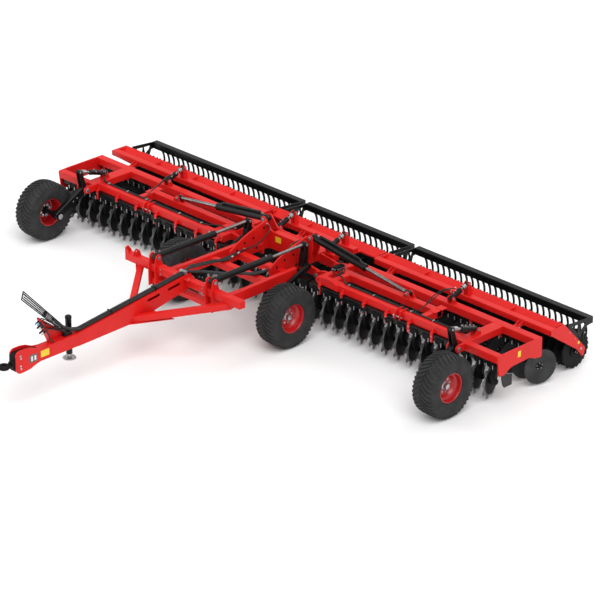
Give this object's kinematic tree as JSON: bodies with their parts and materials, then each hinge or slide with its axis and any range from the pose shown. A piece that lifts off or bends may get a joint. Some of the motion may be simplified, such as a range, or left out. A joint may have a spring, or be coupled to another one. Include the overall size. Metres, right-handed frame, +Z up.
{
  "type": "disc harrow",
  "caption": "Trailed folding disc harrow with notched front discs, plain rear discs, hinged wings on gauge wheels, ring rollers behind and a drawbar with a parking jack.",
  "frame": {"origin": "on the ground under the middle of the overall box", "axes": "+X across the machine towards the pieces named right, which are on the right of someone who faces the machine from its tow eye, -Y towards the tow eye, +Y towards the rollers, +Z up"},
  "size_m": [9.47, 7.26, 1.7808],
  "materials": {
    "red_paint": "glossy bright red paint",
    "black_paint": "satin black paint",
    "disc_steel": "dark hardened blades on black arms",
    "tyre": "dark grey tread rubber",
    "rod_chrome": "polished cylinder rod",
    "hose": "ribbed hose sleeve"
  },
  "bodies": {
    "chassis": {"drawbar": "red_paint", "tow_hitch": "black_paint", "jack_sleeve": "black_paint", "centre_frame": "red_paint", "centre_front_discs": "disc_steel", "centre_rear_discs": "disc_steel", "hose_rack": "black_paint", "coupler_bracket": "red_paint", "hose_bundle": "hose"},
    "jack_leg": {"jack_leg": "black_paint"},
    "left_wing": {"left_wing_frame": "red_paint", "left_front_discs": "disc_steel", "left_rear_discs": "disc_steel"},
    "left_fold_barrel": {"left_fold_barrel": "black_paint"},
    "left_fold_rod": {"left_fold_rod": "rod_chrome"},
    "left_lift_arm": {"left_lift_arm": "black_paint"},
    "left_inner_wheel": {"left_inner_tyre": "tyre", "left_inner_rim": "red_paint"},
    "left_lift_barrel": {"left_lift_barrel": "black_paint"},
    "left_lift_rod": {"left_lift_rod": "rod_chrome"},
    "left_gauge_arm": {"left_gauge_arm": "black_paint"},
    "left_outer_wheel": {"left_outer_tyre": "tyre", "left_outer_rim": "red_paint"},
    "left_gauge_barrel": {"left_gauge_barrel": "black_paint"},
    "left_gauge_rod": {"left_gauge_rod": "rod_chrome"},
    "right_wing": {"right_wing_frame": "red_paint", "right_front_discs": "disc_steel", "right_rear_discs": "disc_steel"},
    "right_fold_barrel": {"right_fold_barrel": "black_paint"},
    "right_fold_rod": {"right_fold_rod": "rod_chrome"},
    "right_lift_arm": {"right_lift_arm": "black_paint"},
    "right_inner_wheel": {"right_inner_tyre": "tyre", "right_inner_rim": "red_paint"},
    "right_lift_barrel": {"right_lift_barrel": "black_paint"},
    "right_lift_rod": {"right_lift_rod": "rod_chrome"},
    "right_gauge_arm": {"right_gauge_arm": "black_paint"},
    "right_outer_wheel": {"right_outer_tyre": "tyre", "right_outer_rim": "red_paint"},
    "right_gauge_barrel": {"right_gauge_barrel": "black_paint"},
    "right_gauge_rod": {"right_gauge_rod": "rod_chrome"},
    "left_roller_carrier": {"left_roller_carrier": "red_paint", "left_tine_rack": "black_paint"},
    "left_roller": {"left_roller": "black_paint"},
    "left_depth_barrel": {"left_depth_barrel": "black_paint"},
    "left_depth_rod": {"left_depth_rod": "rod_chrome"},
    "centre_roller_carrier": {"centre_roller_carrier": "red_paint", "centre_tine_rack": "black_paint"},
    "centre_roller": {"centre_roller": "black_paint"},
    "centre_depth_barrel_left": {"centre_depth_barrel_left": "black_paint"},
    "centre_depth_rod_left": {"centre_depth_rod_left": "rod_chrome"},
    "centre_depth_barrel_right": {"centre_depth_barrel_right": "black_paint"},
    "centre_depth_rod_right": {"centre_depth_rod_right": "rod_chrome"},
    "right_roller_carrier": {"right_roller_carrier": "red_paint", "right_tine_rack": "black_paint"},
    "right_roller": {"right_roller": "black_paint"},
    "right_depth_barrel": {"right_depth_barrel": "black_paint"},
    "right_depth_rod": {"right_depth_rod": "rod_chrome"}
  },
  "joints": [
    {"name": "jack_raise", "type": "slide", "parent": "chassis", "child": "jack_leg", "axis": [0, 0, 1], "range_m": [-0.38, 0.02]},
    {"name": "left_wing_fold", "type": "hinge", "parent": "chassis", "child": "left_wing", "pos_m": [-0.8, 1.66, 0.7], "axis": [0, 1, 0], "range_deg": [0, 90]},
    {"name": "left_fold_barrel_pivot", "type": "hinge", "parent": "chassis", "child": "left_fold_barrel", "pos_m": [-0.5, 2.04, 1.144], "axis": [0, 1, 0], "range_deg": [-0.05, 92.05]},
    {"name": "left_fold_rod_stroke", "type": "slide", "parent": "left_fold_barrel", "child": "left_fold_rod", "axis": [-0.991, 0, -0.1336], "range_m": [-0.7568, 0.001]},
    {"name": "left_lift", "type": "hinge", "parent": "chassis", "child": "left_lift_arm", "pos_m": [-0.61, 1.71, 0.84], "axis": [1, 0, 0], "range_deg": [-18, 8]},
    {"name": "left_inner_wheel_spin", "type": "hinge", "parent": "left_lift_arm", "child": "left_inner_wheel", "pos_m": [-1.148, 0.83, 0.47], "axis": [1, 0, 0], "continuous": true},
    {"name": "left_lift_cylinder_barrel_pivot", "type": "hinge", "parent": "chassis", "child": "left_lift_barrel", "pos_m": [-0.61, -0.14, 1.156], "axis": [1, 0, 0], "range_deg": [-0.72, 0.35]},
    {"name": "left_lift_cylinder_rod_stroke", "type": "slide", "parent": "left_lift_barrel", "child": "left_lift_rod", "axis": [0, 1, 0.0021], "range_m": [-0.0447, 0.0993]},
    {"name": "left_gauge", "type": "hinge", "parent": "left_wing", "child": "left_gauge_arm", "pos_m": [-4, 1.38, 0.76], "axis": [1, 0, 0], "range_deg": [-18, 8]},
    {"name": "left_outer_wheel_spin", "type": "hinge", "parent": "left_gauge_arm", "child": "left_outer_wheel", "pos_m": [-4.313, 0.83, 0.47], "axis": [1, 0, 0], "continuous": true},
    {"name": "left_gauge_cylinder_barrel_pivot", "type": "hinge", "parent": "left_wing", "child": "left_gauge_barrel", "pos_m": [-4, 1.83, 0.9], "axis": [1, 0, 0], "range_deg": [-5.15, 2.32]},
    {"name": "left_gauge_cylinder_rod_stroke", "type": "slide", "parent": "left_gauge_barrel", "child": "left_gauge_rod", "axis": [0, -0.9522, 0.3054], "range_m": [-0.0896, 0.0404]},
    {"name": "right_wing_fold", "type": "hinge", "parent": "chassis", "child": "right_wing", "pos_m": [0.8, 1.66, 0.7], "axis": [0, -1, 0], "range_deg": [0, 90]},
    {"name": "right_fold_barrel_pivot", "type": "hinge", "parent": "chassis", "child": "right_fold_barrel", "pos_m": [0.5, 2.04, 1.144], "axis": [0, -1, 0], "range_deg": [-0.05, 92.05]},
    {"name": "right_fold_rod_stroke", "type": "slide", "parent": "right_fold_barrel", "child": "right_fold_rod", "axis": [0.991, 0, -0.1336], "range_m": [-0.7568, 0.001]},
    {"name": "right_lift", "type": "hinge", "parent": "chassis", "child": "right_lift_arm", "pos_m": [0.61, 1.71, 0.84], "axis": [1, 0, 0], "range_deg": [-18, 8]},
    {"name": "right_inner_wheel_spin", "type": "hinge", "parent": "right_lift_arm", "child": "right_inner_wheel", "pos_m": [1.148, 0.83, 0.47], "axis": [1, 0, 0], "continuous": true},
    {"name": "right_lift_cylinder_barrel_pivot", "type": "hinge", "parent": "chassis", "child": "right_lift_barrel", "pos_m": [0.61, -0.14, 1.156], "axis": [1, 0, 0], "range_deg": [-0.72, 0.35]},
    {"name": "right_lift_cylinder_rod_stroke", "type": "slide", "parent": "right_lift_barrel", "child": "right_lift_rod", "axis": [0, 1, 0.0021], "range_m": [-0.0447, 0.0993]},
    {"name": "right_gauge", "type": "hinge", "parent": "right_wing", "child": "right_gauge_arm", "pos_m": [4, 1.38, 0.76], "axis": [1, 0, 0], "range_deg": [-18, 8]},
    {"name": "right_outer_wheel_spin", "type": "hinge", "parent": "right_gauge_arm", "child": "right_outer_wheel", "pos_m": [4.313, 0.83, 0.47], "axis": [1, 0, 0], "continuous": true},
    {"name": "right_gauge_cylinder_barrel_pivot", "type": "hinge", "parent": "right_wing", "child": "right_gauge_barrel", "pos_m": [4, 1.83, 0.9], "axis": [1, 0, 0], "range_deg": [-5.15, 2.32]},
    {"name": "right_gauge_cylinder_rod_stroke", "type": "slide", "parent": "right_gauge_barrel", "child": "right_gauge_rod", "axis": [0, -0.9522, 0.3054], "range_m": [-0.0896, 0.0404]},
    {"name": "left_roller_lift", "type": "hinge", "parent": "left_wing", "child": "left_roller_carrier", "pos_m": [-2.95, 2.53, 0.74], "axis": [1, 0, 0], "range_deg": [-5, 12]},
    {"name": "left_roller_spin", "type": "hinge", "parent": "left_roller_carrier", "child": "left_roller", "pos_m": [-2.95, 3.27, 0.3], "axis": [1, 0, 0], "continuous": true},
    {"name": "left_depth_cylinder_barrel_pivot", "type": "hinge", "parent": "left_wing", "child": "left_depth_barrel", "pos_m": [-3.06, 2.32, 0.9], "axis": [1, 0, 0], "range_deg": [-3.2, 7.61]},
    {"name": "left_depth_cylinder_rod_stroke", "type": "slide", "parent": "left_depth_barrel", "child": "left_depth_rod", "axis": [0, 0.9341, 0.3571], "range_m": [-0.0492, 0.0211]},
    {"name": "centre_roller_lift", "type": "hinge", "parent": "chassis", "child": "centre_roller_carrier", "pos_m": [0, 2.53, 0.74], "axis": [1, 0, 0], "range_deg": [-5, 12]},
    {"name": "centre_roller_spin", "type": "hinge", "parent": "centre_roller_carrier", "child": "centre_roller", "pos_m": [0, 3.27, 0.3], "axis": [1, 0, 0], "continuous": true},
    {"name": "centre_depth_cylinder_left_barrel_pivot", "type": "hinge", "parent": "chassis", "child": "centre_depth_barrel_left", "pos_m": [-0.5456, 2.32, 0.9], "axis": [1, 0, 0], "range_deg": [-3.2, 7.61]},
    {"name": "centre_depth_cylinder_left_rod_stroke", "type": "slide", "parent": "centre_depth_barrel_left", "child": "centre_depth_rod_left", "axis": [0, 0.9341, 0.3571], "range_m": [-0.0492, 0.0211]},
    {"name": "centre_depth_cylinder_right_barrel_pivot", "type": "hinge", "parent": "chassis", "child": "centre_depth_barrel_right", "pos_m": [0.5456, 2.32, 0.9], "axis": [1, 0, 0], "range_deg": [-3.2, 7.61]},
    {"name": "centre_depth_cylinder_right_rod_stroke", "type": "slide", "parent": "centre_depth_barrel_right", "child": "centre_depth_rod_right", "axis": [0, 0.9341, 0.3571], "range_m": [-0.0492, 0.0211]},
    {"name": "right_roller_lift", "type": "hinge", "parent": "right_wing", "child": "right_roller_carrier", "pos_m": [2.95, 2.53, 0.74], "axis": [1, 0, 0], "range_deg": [-5, 12]},
    {"name": "right_roller_spin", "type": "hinge", "parent": "right_roller_carrier", "child": "right_roller", "pos_m": [2.95, 3.27, 0.3], "axis": [1, 0, 0], "continuous": true},
    {"name": "right_depth_cylinder_barrel_pivot", "type": "hinge", "parent": "right_wing", "child": "right_depth_barrel", "pos_m": [3.06, 2.32, 0.9], "axis": [1, 0, 0], "range_deg": [-3.2, 7.61]},
    {"name": "right_depth_cylinder_rod_stroke", "type": "slide", "parent": "right_depth_barrel", "child": "right_depth_rod", "axis": [0, 0.9341, 0.3571], "range_m": [-0.0492, 0.0211]}
  ],
  "couplings": [
    {"joint": "left_fold_barrel_pivot", "follows": "left_wing_fold", "ratio": 1.0222},
    {"joint": "left_fold_rod_stroke", "follows": "left_wing_fold", "m_per_rad": -0.48117},
    {"joint": "left_lift_cylinder_barrel_pivot", "follows": "left_lift", "ratio": 0.03748},
    {"joint": "left_lift_cylinder_rod_stroke", "follows": "left_lift", "m_per_rad": -0.31304},
    {"joint": "left_gauge_cylinder_barrel_pivot", "follows": "left_gauge", "ratio": 0.28336},
    {"joint": "left_gauge_cylinder_rod_stroke", "follows": "left_gauge", "m_per_rad": 0.28215},
    {"joint": "right_fold_barrel_pivot", "follows": "right_wing_fold", "ratio": 1.0222},
    {"joint": "right_fold_rod_stroke", "follows": "right_wing_fold", "m_per_rad": -0.48117},
    {"joint": "right_lift_cylinder_barrel_pivot", "follows": "right_lift", "ratio": 0.03748},
    {"joint": "right_lift_cylinder_rod_stroke", "follows": "right_lift", "m_per_rad": -0.31304},
    {"joint": "right_gauge_cylinder_barrel_pivot", "follows": "right_gauge", "ratio": 0.28336},
    {"joint": "right_gauge_cylinder_rod_stroke", "follows": "right_gauge", "m_per_rad": 0.28215},
    {"joint": "left_depth_cylinder_barrel_pivot", "follows": "left_roller_lift", "ratio": 0.6301},
    {"joint": "left_depth_cylinder_rod_stroke", "follows": "left_roller_lift", "m_per_rad": -0.2303},
    {"joint": "centre_depth_cylinder_left_barrel_pivot", "follows": "centre_roller_lift", "ratio": 0.6301},
    {"joint": "centre_depth_cylinder_left_rod_stroke", "follows": "centre_roller_lift", "m_per_rad": -0.2303},
    {"joint": "centre_depth_cylinder_right_barrel_pivot", "follows": "centre_roller_lift", "ratio": 0.6301},
    {"joint": "centre_depth_cylinder_right_rod_stroke", "follows": "centre_roller_lift", "m_per_rad": -0.2303},
    {"joint": "right_depth_cylinder_barrel_pivot", "follows": "right_roller_lift", "ratio": 0.6301},
    {"joint": "right_depth_cylinder_rod_stroke", "follows": "right_roller_lift", "m_per_rad": -0.2303}
  ]
}
